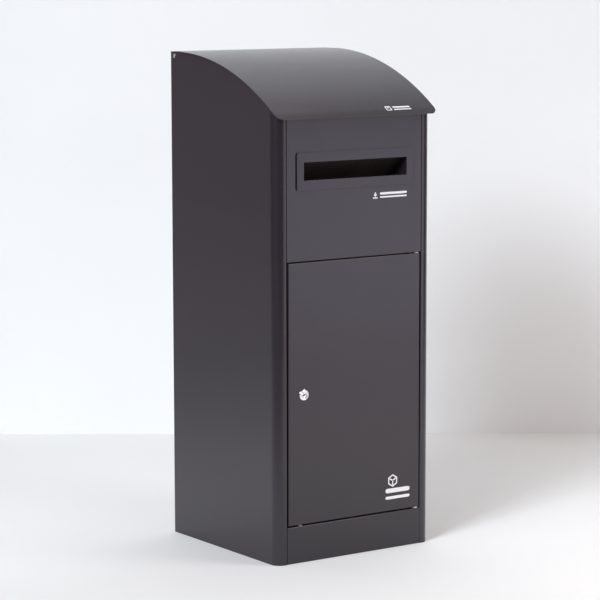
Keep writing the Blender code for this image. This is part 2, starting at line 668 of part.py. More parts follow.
def link_pin(name, centre, side, parent):
    """Shouldered rivet through an arm and a link."""
    inside, outside = LINK_X - GAP, ARM_X + PLATE + GAP
    inner_face, outer_face = inside - RIVET_HEAD, outside + RIVET_HEAD
    profile = [(0, side * outer_face), (RIVET_HEAD_RADIUS, side * outer_face), (RIVET_HEAD_RADIUS, side * outside),
               (PIN_RADIUS, side * outside), (PIN_RADIUS, side * inside), (RIVET_HEAD_RADIUS, side * inside),
               (RIVET_HEAD_RADIUS, side * inner_face), (0, side * inner_face)]
    add(name, turned(profile, "X", centre), "zinc_plate", parent)


def make_link_bar(side, parent):
    ends = [crank_end(LID_HINGE), crank_end(TRAY_HINGE)]
    outline = hull(circle(ends[0], LINK_HALF_WIDTH) + circle(ends[1], LINK_HALF_WIDTH))
    span = between(side, LINK_X, LINK_X + PLATE)
    bar = add(f"link_bar_{SIDE_NAMES[side]}", prism(outline, "X", *span), "zinc_plate", parent)
    for centre in ends:
        drill(bar, "X", centre, PIN_HOLE, span[0] - PLATE, span[1] + PLATE)


# ---------------------------------------------------------------- tray, in its own coordinates

def make_tray_plate(parent):
    """Channel-shaped tray, level along -Y with its edges up."""
    half = ARM_X - GAP
    profile = [(-half, TRAY_EDGE, 0), (-half, 0, BEND), (half, 0, BEND), (half, TRAY_EDGE, 0)]
    plate = add("tray_plate", prism(folded(profile, SHEET), "Y", -TRAY_LENGTH, -TRAY_START), "powder_coat", parent)
    for side in (LEFT, RIGHT):
        low_x, high_x = between(side, TRAY_NOTCH_X, half + SHEET)
        cut(plate, slab((low_x, -TRAY_NOTCH, -SHEET), (high_x, TRAY_START, TRAY_EDGE + SHEET)))


def make_tray_rail(parent):
    """Angle under the tray's front edge."""
    front = -TRAY_LENGTH + 1 * MM
    profile = [(front, -TRAY_RAIL_HEIGHT, 0), (front, -GAP, BEND), (front + TRAY_RAIL_LEG, -GAP, 0)]
    rail = prism(folded(profile, -SHEET), "X", -TRAY_RAIL_HALF_WIDTH, TRAY_RAIL_HALF_WIDTH)
    add("tray_front_rail", rail, "powder_coat", parent)


def make_tray_arm(side, parent):
    pin = tray_crank_end()
    outline = circle((0, 0), TRAY_HINGE_EYE) + circle(pin, TRAY_PIN_EYE)
    outline += [(-TRAY_ARM_LENGTH, level) for level in TRAY_ARM_NOSE]
    span = between(side, ARM_X, ARM_X + PLATE)
    arm = add(f"tray_arm_{SIDE_NAMES[side]}", prism(hull(outline), "X", *span), "zinc_plate", parent)
    drill(arm, "X", (0, 0), ROD_RADIUS + GAP, span[0] - PLATE, span[1] + PLATE)
    drill(arm, "X", pin, PIN_HOLE, span[0] - PLATE, span[1] + PLATE)


# ---------------------------------------------------------------- door and lock

def make_door_skin(parent):
    """Shallow pan with rounded front edges and inward folds round its open back."""
    bm = slab((DOOR_LEFT, FRONT_Y, DOOR_BOTTOM), (DOOR_RIGHT, DOOR_BACK, DOOR_TOP))
    rear = [edge for edge in bm.edges if all(abs(vert.co.y - DOOR_BACK) < MERGE for vert in edge.verts)]
    soft = [edge for edge in bm.edges if edge not in rear]
    bmesh.ops.bevel(bm, geom=soft, offset=BEND, segments=BEND_STEPS, profile=0.5, affect="EDGES")
    skin = add("door_skin", bm, "powder_coat", parent)
    cut(skin, slab((DOOR_LEFT + SHEET, FRONT_Y + SHEET, DOOR_BOTTOM + SHEET),
                   (DOOR_RIGHT - SHEET, DOOR_BACK - SHEET, DOOR_TOP - SHEET)))
    cut(skin, slab((DOOR_LEFT + DOOR_LIP, FRONT_Y + DOOR_DEPTH / 2, DOOR_BOTTOM + DOOR_LIP),
                   (DOOR_RIGHT - DOOR_LIP, DOOR_BACK + SHEET, DOOR_TOP - DOOR_LIP)))
    drill(skin, "Y", LOCK.xz, BARREL_RADIUS + GAP, FRONT_Y - SHEET, FRONT_Y + 3 * SHEET)
    for edge in (DOOR_BOTTOM, DOOR_TOP):
        drill(skin, "Z", DOOR_HINGE.xy, BUSH_RADIUS + GAP, edge - 2 * SHEET, edge + 2 * SHEET)


def make_door_stiffener(parent):
    """Hat section up the inside of the door, its flanges against the skin."""
    face = FRONT_Y + SHEET + GAP
    outline = [(x, face - depth) for x, depth in hat_profile(*STIFFENER_SIZE)]
    hat = prism(outline, "Z", DOOR_BOTTOM + STIFFENER_MARGIN, DOOR_TOP - STIFFENER_MARGIN)
    add("door_stiffener", hat, "powder_coat", parent)


def make_door_bush(name, edge, panel_edge, parent):
    """Flanged nylon bush in the door's edge; its flange nearly fills the gap beside the fixed panel."""
    up = 1 if edge > panel_edge else -1
    face = edge - up * GAP
    rest = panel_edge + up * GAP
    inside = edge + up * (SHEET + 1.5 * MM)
    profile = [(BUSH_BORE, rest), (BUSH_FLANGE_RADIUS, rest), (BUSH_FLANGE_RADIUS, face), (BUSH_RADIUS, face),
               (BUSH_RADIUS, inside), (BUSH_BORE, inside)]
    add(name, turned(profile, "Z", DOOR_HINGE.xy), "nylon", parent)


def make_lock_barrel(parent):
    """Cam lock body: a thin round face in front of the door and a barrel through it."""
    back = FRONT_Y - GAP
    front = back - LOCK_FACE
    rim = 0.6 * MM
    end = FRONT_Y + BARREL_END
    profile = [(PLUG_BORE, front), (LOCK_FACE_RADIUS - 2 * rim, front), (LOCK_FACE_RADIUS, front + rim),
               (LOCK_FACE_RADIUS, back), (BARREL_RADIUS, back), (BARREL_RADIUS, end), (PLUG_BORE, end)]
    add("lock_barrel", turned(profile, "Y", LOCK.xz), "chrome", parent)


def make_lock_nut(parent):
    seat = FRONT_Y + SHEET + GAP
    height, radius = 3.5 * MM, 12.7 * MM
    nut = add("lock_nut", prism(circle(LOCK.xz, radius, steps=6), "Y", seat, seat + height), "zinc_plate", parent)
    drill(nut, "Y", LOCK.xz, BARREL_RADIUS + GAP, seat - height, seat + 2 * height)


def make_lock_plug(parent):
    """Turning plug with a key slot in its face and a screw hole in its tail."""
    front = FRONT_Y - GAP - LOCK_FACE + 0.2 * MM
    tail = FRONT_Y + BARREL_END + 0.6 * MM
    screw_depth = 6 * MM
    profile = [(0, front), (PLUG_RADIUS, front), (PLUG_RADIUS, tail), (SCREW_HOLE, tail),
               (SCREW_HOLE, tail - screw_depth), (0, tail - screw_depth)]
    plug = add("lock_plug", turned(profile, "Y", LOCK.xz), "chrome", parent)
    length, width, depth = KEYWAY
    along = Vector((math.cos(KEYWAY_TILT), math.sin(KEYWAY_TILT))) * length / 2
    across = Vector((-along.y, along.x)).normalized() * width / 2
    keyway = [LOCK.xz + along * a + across * b for a, b in ((-1, -1), (1, -1), (1, 1), (-1, 1))]
    cut(plug, prism(keyway, "Y", front - depth, front + depth))


def make_lock_cam(parent):
    """Locking bar on the plug's tail; it hangs down when unlocked and turns out behind the side fold."""
    tip = (LOCK.x, LOCK.z - CAM_REACH + CAM_HALF_WIDTH)
    outline = hull(circle(LOCK.xz, CAM_EYE) + circle(tip, CAM_HALF_WIDTH))
    cam = add("lock_cam", prism(outline, "Y", CAM_Y, CAM_Y + PLATE), "zinc_plate", parent)
    drill(cam, "Y", LOCK.xz, SCREW_HOLE, CAM_Y - PLATE, CAM_Y + 2 * PLATE)


def make_cam_screw(parent):
    seat = CAM_Y + PLATE + GAP
    head, head_radius, shank_radius = 2.4 * MM, 4 * MM, 2 * MM
    profile = [(0, seat + head), (0.7 * head_radius, seat + head), (head_radius, seat + 0.5 * head),
               (head_radius, seat), (shank_radius, seat), (shank_radius, CAM_Y - 4 * MM), (0, CAM_Y - 4 * MM)]
    add("cam_screw", turned(profile, "Y", LOCK.xz), "zinc_plate", parent)


# ---------------------------------------------------------------- assembly

def build_cabinet():
    for side in (LEFT, RIGHT):
        make_side_panel(side)
        make_tray_bracket(side)
        make_lid_hinge(side)
        make_lid_buffer(side)
    make_rear_panel()
    make_rear_gutter()
    make_base_pan()
    make_plinth()
    make_fascia()
    make_letter_bezel()
    make_letter_chute()
    make_tray_rod()
    make_door_pin("door_pin_lower", PLINTH_TOP, 1)
    make_door_pin("door_pin_upper", FASCIA_BOTTOM, -1)
    make_door_glide()
    make_door_buffer("door_buffer_lower", PLINTH_TOP + DOOR_BUFFER_EDGE)
    make_door_buffer("door_buffer_upper", FASCIA_BOTTOM - DOOR_BUFFER_EDGE)


def build_lid():
    lid = pivot("lid_pivot", LID_HINGE)
    make_lid_sheet(lid)
    make_lid_rail(lid)
    for side in (LEFT, RIGHT):
        make_lid_arm(side, lid)
        link_pin(f"lid_link_pin_{SIDE_NAMES[side]}", crank_end(LID_HINGE), side, lid)
        link = pivot(f"link_pivot_{SIDE_NAMES[side]}", (0, *crank_end(LID_HINGE)))
        make_link_bar(side, link)


def build_tray():
    tray = pivot("tray_pivot", TRAY_HINGE, tilt=TRAY_REST_TILT)
    make_tray_plate(tray)
    make_tray_rail(tray)
    for side in (LEFT, RIGHT):
        make_tray_arm(side, tray)
        link_pin(f"tray_link_pin_{SIDE_NAMES[side]}", tray_crank_end(), side, tray)


def build_door():
    door = pivot("door_pivot", DOOR_HINGE)
    make_door_skin(door)
    make_door_stiffener(door)
    make_door_bush("door_bush_lower", DOOR_BOTTOM, PLINTH_TOP, door)
    make_door_bush("door_bush_upper", DOOR_TOP, FASCIA_BOTTOM, door)
    make_lock_barrel(door)
    make_lock_nut(door)
    lock = pivot("lock_pivot", LOCK, parent=door)
    make_lock_plug(lock)
    make_lock_cam(lock)
    make_cam_screw(lock)


def main():
    clear_scene()
    build_cabinet()
    build_lid()
    build_tray()
    build_door()


main()
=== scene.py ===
"""Looks of a parcel drop box: finishes, turned and carved details, printed marks, stage and light."""

import math
from collections import Counter

import bmesh
import bpy
from mathutils import Matrix, Vector


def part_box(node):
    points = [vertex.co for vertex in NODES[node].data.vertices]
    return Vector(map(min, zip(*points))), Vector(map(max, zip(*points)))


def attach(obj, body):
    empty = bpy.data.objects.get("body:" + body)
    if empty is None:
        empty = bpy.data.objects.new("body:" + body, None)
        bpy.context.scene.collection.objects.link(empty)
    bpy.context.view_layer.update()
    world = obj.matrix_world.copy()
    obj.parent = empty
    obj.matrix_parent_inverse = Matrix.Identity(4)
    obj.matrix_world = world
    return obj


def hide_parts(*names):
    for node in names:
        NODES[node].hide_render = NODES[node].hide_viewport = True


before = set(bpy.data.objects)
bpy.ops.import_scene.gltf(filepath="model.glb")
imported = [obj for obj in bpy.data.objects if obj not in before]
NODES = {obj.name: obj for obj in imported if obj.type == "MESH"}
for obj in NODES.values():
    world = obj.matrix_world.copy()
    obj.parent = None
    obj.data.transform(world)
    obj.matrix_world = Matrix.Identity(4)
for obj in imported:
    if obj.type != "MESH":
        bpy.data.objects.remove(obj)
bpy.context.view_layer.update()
MM = 0.001

# Camera, at the photograph's angle
CAMERA_PLACE = Vector((-2.87876, -4.13236, 1.17735))
CAMERA_FORWARD = Vector((0.56626289, 0.81319352, -0.1343973))
CAMERA_RIGHT = Vector((0.82050635, -0.5716349, -0.00169278))
CAMERA_AWAY = Vector((CAMERA_FORWARD.x, CAMERA_FORWARD.y, 0)).normalized()      # level, away from the camera
LENS = 149.07
SENSOR = 36.0

# Stage
WALL_DISTANCE = 1.135               # from the box's middle, square to the view
WALL_LEFT, WALL_RIGHT, WALL_HEIGHT = 1.1, 3.0, 3.1
WALL_COLOUR = (0.90, 0.92, 0.93, 1)
FLOOR_COLOUR = (0.86, 0.88, 0.88, 1)
FLOOR_REACH = 12.0
FLOOR_SHADE_AZIMUTH = -55            # painted shade: the floor's colour darkens out of view on this side, standing in for a dim studio
FLOOR_SHADE = (0.8, 1.9, 0.25)       # where it starts and ends, and the share of the colour that is left
FLOOR_MELT = (2.4, 6.0)             # distances between which the floor melts into the world's light
WORLD_COLOUR = (1.0, 0.89, 0.82, 1)
WORLD_STRENGTH = 0.19
LIGHT_TARGET = Vector((0, 0, 0.5))
LIGHTS = {  # azimuth from the front, elevation, distance, side of the square, watts, colour
    "key": (-66, 30, 6.0, 1.35, 172, (0.87, 0.93, 1.0)),
    "key_soft": (-65, 30, 5.0, 2.2, 84, (0.83, 0.91, 1.0)),
    "left_high": (-70, 55, 3.2, 1.4, 14, (1.0, 0.77, 0.70)),
    "front_card": (35, -5, 3.2, 1.3, 8.4, (0.86, 0.83, 1.0)),
    "side_card": (-145, -4, 3.2, 1.4, 1.3, (1.0, 0.92, 0.98)),
    "rear_high": (120, 60, 3.0, 1.0, 4.0, (1.0, 0.80, 0.89)),
}
FLOOR_LIGHTS = {  # azimuth, distance along the floor, height, side, watts, colour
    "floor_near": (35, 1.4, 1.4, 0.8, 10.0, (1.0, 0.95, 0.90)),
    "floor_far": (35, 2.4, 1.8, 0.8, 10.7, (1.0, 0.76, 0.80)),
    "floor_left": (-135, 0.9, 0.7, 0.6, 1.1, (1.0, 0.97, 0.95)),
}
# distance along the floor, height, height of its target on the wall, side, watts, colour
WALL_LIGHT = (0.35, 2.7, 1.8, 0.8, 5.5, (1.0, 0.97, 0.98))

# Finishes
COAT = (0.0175, 0.0125, 0.0195, 1)
COAT_ROUGHNESS = 0.24
COAT_SPECULAR = 0.65
# painted shade: the dark, matt coat inside the letter chute and in the key slot
PAINTED_SHADE_COLOUR = (0.020, 0.0145, 0.0145, 1)
ZINC = (0.60, 0.61, 0.62, 1)
CHROME = (0.95, 0.95, 0.96, 1)
NYLON = (0.80, 0.79, 0.76, 1)
RUBBER = (0.018, 0.018, 0.018, 1)
INK = (0.96, 0.97, 0.98, 1)
ZINC_WARM = (0.66, 0.62, 0.50, 1)
EDGE_RADIUS = 0.9 * MM              # width of the painted edge highlight beside an edge
SOFT_EDGE = 0.3 * MM                # rounding of the CAD nodes' edges
SHARP_ANGLE = math.radians(35)      # edges over this stay sharp
NODE_WELD = 1e-5                    # corners of a CAD node closer than this are one
SAME_PLACE = 1e-7                   # and those of an added piece
MIX_COLOURS = (6, 7)                # a Mix node's two colour inputs
MIX_RESULT = 2                      # and its colour output

# Turned pieces; a profile's points are (radius, distance along the axis) in millimetres
TURN_STEPS = 72
END_STEPS = 8                       # segments in the round end of a slot or a bar
THREAD_PITCH = 1.0 * MM
THREAD_DEPTH = 0.3 * MM
LOCK_BORE = 6.5 * MM
LOCK_NECK = 9 * MM
LOCK_THREAD_START = 3.2 * MM
LOCK_RUNOUT = 0.5 * MM              # plain end of the barrel behind its thread
LOCK_END_CHAMFER = 0.6 * MM
LOCK_RIM = [(6.5, 0.45), (6.85, 0.1), (7.6, 0), (8.0, 0.25), (8.4, 0.02), (9.6, 0.05), (10.4, 0.35),
            (10.85, 0.85), (11, 1.4), (11, 2.2), (9, 2.2), (9, 3.2)]
PLUG_FACE = [(0, 0.05), (4.6, 0.05), (5.0, 0.3), (5.4, 0.02), (5.9, 0), (6.2, 0.35)]
PLUG_RADIUS = 6.2 * MM
PLUG_BORE = (2.4 * MM, 6 * MM)      # radius and depth of the hole in its rear end
KEY_SLOT = (8.0 * MM, 3.0 * MM, 6.0 * MM)       # length, width and depth
KEY_SLOT_TILT = math.radians(24)
SHADE_PLATE_GAP = 0.2 * MM              # the plate of painted shade is this much shorter and narrower than the key slot
SHADE_PLATE_DEPTH = 1.6 * MM            # behind the plug's face
SHADE_PLATE_HALF = 0.3 * MM             # half its thickness
LOCK_NUT = (12.7 * MM, 9 * MM)      # radius of its corners, and radius of the shank through it
HINGE_NUT = (5.7 * MM, 3 * MM)
NUT_CHAMFER_START = 0.96            # times the distance to the flats
NUT_CHAMFER_ANGLE = math.radians(30)
NUT_CHAMFER_STEPS = 4
NUT_MOUTH = (0.5 * MM, 0.3 * MM)                # extra radius and depth of the chamfers of its bore
NUT_THREAD = (0.05 * MM, 0.25 * MM)             # extra radius at its thread's crests and roots
BOLT_SHANK = 3 * MM
BOLT_HEAD = [(0, 0), (2.0, 0), (3.1, 0.18), (4.0, 0.5), (4.5, 0.9), (4.6, 1.2), (3, 1.2), (3, 5.0)]
BOLT_THREAD_START = 5.0 * MM
BOLT_RUNOUT = 0.6 * MM
BOLT_END_CHAMFER = 0.5 * MM
SOCKET_RADIUS = 1.7 * MM
SOCKET_DEPTH = 0.8 * MM
BUFFER_FOOT = [(0, 0), (5, 0), (5, 1.0), (4.7, 1.3), (4.0, 1.5), (3.8, 2.0), (4.0, 2.6), (4.3, 3.6),
               (4.1, 4.8), (3.3, 5.8)]
BUFFER_TOP = (1.8 * MM, 0.1 * MM)   # radius of the dome's last ring, and how far it lies below the top

# Print: plain pictograms and bars, placed in millimetres on the face they lie on
PRINT_LIFT = 0.02 * MM
PRINT_THICKNESS = 0.15 * MM
PRINT_BREAK = 0.25                  # gap between strokes of a pictogram
PRINT_DIGITS = 4                    # corners that agree to this many decimals are one
LID_ICON = (76, 14, 11, 2.0)        # left, bottom, size and line width
LID_BARS = [(93, 20.5, 43, 4.2), (93, 14, 43, 3)]               # left, bottom, width and height
FASCIA_ICON = (44, 715.5, 11, 2.4)
FASCIA_BARS = [(61, 721.3, 67, 4.6), (61, 715, 67, 3.2)]
DOOR_ICON = (95, 139, 11.5, 2.5)    # middle across and up, radius and line width
DOOR_BARS = [(77, 114, 61, 9), (77, 101, 61, 6)]
TAPE_END = 0.5                      # the parcel's tape ends this share of the way up
TAPE_WIDTH = 1.6                    # times the line width
ARROW_TIP = 0.32                    # height of the arrow's tip, as a share of the icon's size
ARROW_HEAD = 0.3                    # reach of its head each way
TIP_CLEARANCE = 0.71                # line widths from a square corner's middle to its inner corner
SPOKE_START = 0.29                  # line widths from the middle, where the cube's three spokes are clear
SPOKE_END = 0.87                    # line widths from the rim's corner, where a spoke is clear of it
FRONT_Y = -189 * MM                 # of the fascia and the door
LID_RADIUS = 600 * MM               # of the lid's curve
LID_AXIS = Vector((0, 155 * MM, 400 * MM))      # its middle
LID_FRONT = -204.5 * MM             # Y of the lid's front edge


# ---------------------------------------------------------------- node materials

def new_material(name):
    made = bpy.data.materials.new(name)
    made.use_nodes = True
    tree = made.node_tree
    return made, tree, tree.nodes["Principled BSDF"]


def node(tree, kind, **values):
    """A shader node whose sockets or settings are given by name."""
    made = tree.nodes.new(kind)
    for key, value in values.items():
        if key in made.inputs:
            made.inputs[key].default_value = value
        else:
            setattr(made, key, value)
    return made


def object_space(tree):
    """The object-space coordinates of a material, from one node that its textures share."""
    for existing in tree.nodes:
        if existing.bl_idname == "ShaderNodeTexCoord":
            return existing.outputs["Object"]
    return tree.nodes.new("ShaderNodeTexCoord").outputs["Object"]


def noise(tree, scale, detail=2.0, stretch=None):
    """Noise in object space; `stretch` scales the three directions before it."""
    made = node(tree, "ShaderNodeTexNoise", Scale=scale, Detail=detail)
    source = object_space(tree)
    if stretch:
        mapping = node(tree, "ShaderNodeMapping", Scale=stretch)
        tree.links.new(source, mapping.inputs["Vector"])
        source = mapping.outputs["Vector"]
    tree.links.new(source, made.inputs["Vector"])
    return made.outputs["Fac"]


def spread(tree, value, low, high, start=0.3, end=0.7):
    """Map a value, for noise near the middle of its range, onto another range."""
    made = tree.nodes.new("ShaderNodeMapRange")
    for name, limit in (("From Min", start), ("From Max", end), ("To Min", low), ("To Max", high)):
        made.inputs[name].default_value = limit
    tree.links.new(value, made.inputs["Value"])
    return made.outputs["Result"]


def mixed(tree, factor, first, second):
    """Mix two colours, each a fixed colour or a socket."""
    made = node(tree, "ShaderNodeMix", data_type="RGBA")
    tree.links.new(factor, made.inputs["Factor"])
    for index, colour in zip(MIX_COLOURS, (first, second)):
        if isinstance(colour, tuple):
            made.inputs[index].default_value = colour
        else:
            tree.links.new(colour, made.inputs[index])
    return made.outputs[MIX_RESULT]


def shade(colour, times):
    return (*[channel * times for channel in colour[:3]], 1)


def tinted(tree, value, colour, low, high):
    """A colour that a noise value darkens to `low` and lightens to `high` times itself."""
    return mixed(tree, spread(tree, value, 0, 1), shade(colour, low), shade(colour, high))


def product(tree, first, second):
    made = node(tree, "ShaderNodeMath", operation="MULTIPLY")
    tree.links.new(first, made.inputs[0])
    tree.links.new(second, made.inputs[1])
    return made.outputs["Value"]


def edges(tree, radius):
    """0 on flat faces, towards 1 within `radius` of an edge."""
    bevel = node(tree, "ShaderNodeBevel", samples=4, Radius=radius)
    true = tree.nodes.new("ShaderNodeNewGeometry")
    dot = node(tree, "ShaderNodeVectorMath", operation="DOT_PRODUCT")
    tree.links.new(bevel.outputs["Normal"], dot.inputs[0])
    tree.links.new(true.outputs["Normal"], dot.inputs[1])
    return spread(tree, dot.outputs["Value"], 1, 0, start=0.80, end=0.99)


def bumped(tree, shader, *layers):
    """Stack bump layers of (height, strength, distance), finest last."""
    normal = None
    for height, strength, distance in layers:
        made = node(tree, "ShaderNodeBump", Strength=strength, Distance=distance)
        tree.links.new(height, made.inputs["Height"])
        if normal:
            tree.links.new(normal, made.inputs["Normal"])
        normal = made.outputs["Normal"]
    tree.links.new(normal, shader.inputs["Normal"])


def powder_coat():
    """Satin powder coat: fine orange peel over slow waves of the sheet, edges painted a little lighter as a
    highlight, where the coat is also thinner.
    """
    made, tree, shader = new_material("powder_coat_anthracite")
    body = tinted(tree, noise(tree, 7, 3), COAT, 0.97, 1.03)
    # Painted highlight: the edges are painted lighter, where the coat is also thinner.
    edge_highlight = product(tree, edges(tree, EDGE_RADIUS), spread(tree, noise(tree, 160, 3), 0.1, 0.6))
    tree.links.new(mixed(tree, edge_highlight, body, shade(COAT, 3.0)), shader.inputs["Base Color"])
    tree.links.new(spread(tree, noise(tree, 45, 4), COAT_ROUGHNESS - 0.012, COAT_ROUGHNESS + 0.012),
                   shader.inputs["Roughness"])
    shader.inputs["Specular IOR Level"].default_value = COAT_SPECULAR
    bumped(tree, shader, (noise(tree, 5, 1), 0.05, 0.0015), (noise(tree, 650, 2), 0.07, 0.0002))
    return made


def painted_shade_finish():
    """Painted shade: a dark, matt coat for the inside of the letter chute and the plate in the key slot."""
    made, tree, shader = new_material("powder_coat_overspray")
    tree.links.new(tinted(tree, noise(tree, 35, 4), PAINTED_SHADE_COLOUR, 0.8, 1.25), shader.inputs["Base Color"])
    tree.links.new(spread(tree, noise(tree, 80, 3), 0.6, 0.75), shader.inputs["Roughness"])
    shader.inputs["Specular IOR Level"].default_value = 0.25
    bumped(tree, shader, (noise(tree, 500, 3), 0.2, 0.0003))
    return made


def zinc_plate():
    """Bright zinc: cloudy patches, warmer stains, and drawn lines along the sheet."""
    made, tree, shader = new_material("zinc_plate_bright")
    shader.inputs["Metallic"].default_value = 1
    clouds = tinted(tree, noise(tree, 60, 4), ZINC, 0.86, 1.06)
    warm = mixed(tree, spread(tree, noise(tree, 18, 2), 0, 0.25), clouds, ZINC_WARM)
    tree.links.new(warm, shader.inputs["Base Color"])
    tree.links.new(spread(tree, noise(tree, 220, 3), 0.26, 0.42), shader.inputs["Roughness"])
    drawn = noise(tree, 260, 3, stretch=(1, 1, 0.08))
    bumped(tree, shader, (drawn, 0.12, 0.0002), (noise(tree, 1100, 2), 0.1, 0.0001))
    return made


def chrome():
    """Plated and turned: near-white, with faint turning marks."""
    made, tree, shader = new_material("chrome_turned")
    shader.inputs["Metallic"].default_value = 1
    tree.links.new(tinted(tree, noise(tree, 300, 2), CHROME, 0.95, 1.03), shader.inputs["Base Color"])
    tree.links.new(spread(tree, noise(tree, 500, 2), 0.20, 0.28), shader.inputs["Roughness"])
    bumped(tree, shader, (noise(tree, 1500, 1), 0.08, 0.0001))
    return made


def nylon():
    """Natural nylon: off-white and faintly mottled."""
    made, tree, shader = new_material("nylon_natural")
    tree.links.new(tinted(tree, noise(tree, 120, 2), NYLON, 0.96, 1.02), shader.inputs["Base Color"])
    tree.links.new(spread(tree, noise(tree, 300, 2), 0.38, 0.5), shader.inputs["Roughness"])
    bumped(tree, shader, (noise(tree, 900, 2), 0.06, 0.0002))
    return made


def rubber():
    """Matt black rubber."""
    made, tree, shader = new_material("rubber_black")
    tree.links.new(tinted(tree, noise(tree, 200, 3), RUBBER, 0.8, 1.3), shader.inputs["Base Color"])
    tree.links.new(spread(tree, noise(tree, 150, 3), 0.7, 0.85), shader.inputs["Roughness"])
    bumped(tree, shader, (noise(tree, 800, 3), 0.2, 0.0003))
    return made


def print_ink():
    """Screen-printed white, a little uneven in cover."""
    made, tree, shader = new_material("print_ink_white")
    tree.links.new(tinted(tree, noise(tree, 400, 2), INK, 0.96, 1.02), shader.inputs["Base Color"])
    tree.links.new(spread(tree, noise(tree, 500, 2), 0.4, 0.5), shader.inputs["Roughness"])
    bumped(tree, shader, (noise(tree, 900, 2), 0.1, 0.0002))
    return made


def stage_material(name, colour):
    """Plain matt paint for the floor and the wall."""
    made, tree, shader = new_material(name)
    tree.links.new(tinted(tree, noise(tree, 2, 2), colour, 0.99, 1.01), shader.inputs["Base Color"])
    shader.inputs["Roughness"].default_value = 0.9
    shader.inputs["Specular IOR Level"].default_value = 0.1
    return made


# ---------------------------------------------------------------- CAD nodes

def smooth_shading():
    """Geometry nodes that shade faces smooth, with edges over the sharp angle kept sharp."""
    tree = bpy.data.node_groups.new("smooth_by_angle", "GeometryNodeTree")
    tree.interface.new_socket("Geometry", in_out="INPUT", socket_type="NodeSocketGeometry")
    tree.interface.new_socket("Geometry", in_out="OUTPUT", socket_type="NodeSocketGeometry")
    start = tree.nodes.new("NodeGroupInput")
    end = tree.nodes.new("NodeGroupOutput")
    faces = tree.nodes.new("GeometryNodeSetShadeSmooth")
    sharp = tree.nodes.new("GeometryNodeSetShadeSmooth")
    sharp.domain = "EDGE"
    sharp.inputs["Shade Smooth"].default_value = False
    angle = tree.nodes.new("GeometryNodeInputMeshEdgeAngle")
    over = tree.nodes.new("FunctionNodeCompare")
    over.operation = "GREATER_THAN"
    over.inputs[1].default_value = SHARP_ANGLE
    tree.links.new(start.outputs[0], faces.inputs["Geometry"])
    tree.links.new(faces.outputs["Geometry"], sharp.inputs["Geometry"])
    tree.links.new(angle.outputs["Unsigned Angle"], over.inputs[0])
    tree.links.new(over.outputs["Result"], sharp.inputs["Selection"])
    tree.links.new(sharp.outputs["Geometry"], end.inputs[0])
    return tree


def soften(obj, width, shading):
    """Round a CAD node's sharp edges with modifiers; its mesh stays as packed."""
    weld = obj.modifiers.new("weld", "WELD")
    weld.merge_threshold = NODE_WELD
    bevel = obj.modifiers.new("bevel", "BEVEL")
    bevel.width = width
    bevel.segments = 2
    bevel.limit_method = "ANGLE"
    bevel.angle_limit = SHARP_ANGLE
    smooth = obj.modifiers.new("smooth", "NODES")
    smooth.node_group = shading
    normals = obj.modifiers.new("normals", "WEIGHTED_NORMAL")
    normals.keep_sharp = True


def dress_nodes(finishes):
    """Give each CAD node the finish that its packed material names, and soften its edges."""
    shading = smooth_shading()
    for name, obj in NODES.items():
        material = obj.data.materials[0].name
        finish = next(slot for slot in finishes if material.startswith(slot))
        # The letter chute gets the dark, matt coat that paints shade inside it.
        if name == "letter_chute":
            finish = "overspray"
        obj.data.materials.clear()
        obj.data.materials.append(finishes[finish])
        soften(obj, SOFT_EDGE, shading)


# ---------------------------------------------------------------- turned and carved pieces

def mesh_object(name, bm, material=None):
    """An object from a bmesh, with its faces pointing out."""
    bmesh.ops.remove_doubles(bm, verts=bm.verts, dist=SAME_PLACE)
    bmesh.ops.recalc_face_normals(bm, faces=bm.faces)
    mesh = bpy.data.meshes.new(name)
    bm.to_mesh(mesh)
    bm.free()
    if material:
        mesh.materials.append(material)
    obj = bpy.data.objects.new(name, mesh)
    bpy.context.collection.objects.link(obj)
    return obj


def smoothed(obj):
    """Shade smooth, with edges over the sharp angle kept sharp."""
    obj.data.shade_smooth()
    obj.data.set_sharp_from_angle(angle=SHARP_ANGLE)
    return obj


def in_millimetres(points):
    return [(radius * MM, along * MM) for radius, along in points]


def axis_frame(axis, centre, start, way):
    """Matrix from (radial, radial, along) to the model; `along` runs from `start` the `way` of the axis."""
    along = Vector([float(letter == axis) for letter in "XYZ"]) * way
    side = Vector((0, 0, 1)) if axis != "Z" else Vector((1, 0, 0))
    across = along.cross(side)
    origin = Vector(centre)
    origin["XYZ".index(axis)] = start
    rotation = Matrix((side, across, along)).transposed().to_4x4()
    return Matrix.Translation(origin) @ rotation


def turned(name, node_name, axis, profile, material, way=1, radius_at=None):
    """Turn a closed profile round a CAD node's middle, from its low face, or its high one if `way` is -1.

    `radius_at` gives the largest radius at each angle, as the flats of a nut do.
    """
    low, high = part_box(node_name)
    index = "XYZ".index(axis)
    start = low[index] if way > 0 else high[index]
    place = axis_frame(axis, (Vector(low) + Vector(high)) / 2, start, way)
    bm = bmesh.new()
    rings = []
    for radius, along in profile:
        if radius == 0:
            rings.append([bm.verts.new(place @ Vector((0, 0, along)))])
            continue
        ring = []
        for step in range(TURN_STEPS):
            turn = math.tau * step / TURN_STEPS
            reach = min(radius, radius_at(turn)) if radius_at else radius
            corner = Vector((reach * math.cos(turn), reach * math.sin(turn), along))
            ring.append(bm.verts.new(place @ corner))
        rings.append(ring)
    for first, second in zip(rings, rings[1:] + rings[:1]):
        if len(first) == 1 and len(second) == 1:
            continue
        for i in range(TURN_STEPS):
            j = (i + 1) % TURN_STEPS
            pairs = ((first, i), (first, j), (second, j), (second, i))
            corners = [around[k % len(around)] for around, k in pairs]
            bm.faces.new(list(dict.fromkeys(corners)))
    return smoothed(mesh_object(name, bm, material))


def stand_in(obj, node_name, body):
    """Show a piece in a CAD node's place, on its body."""
    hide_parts(node_name)
    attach(obj, body)


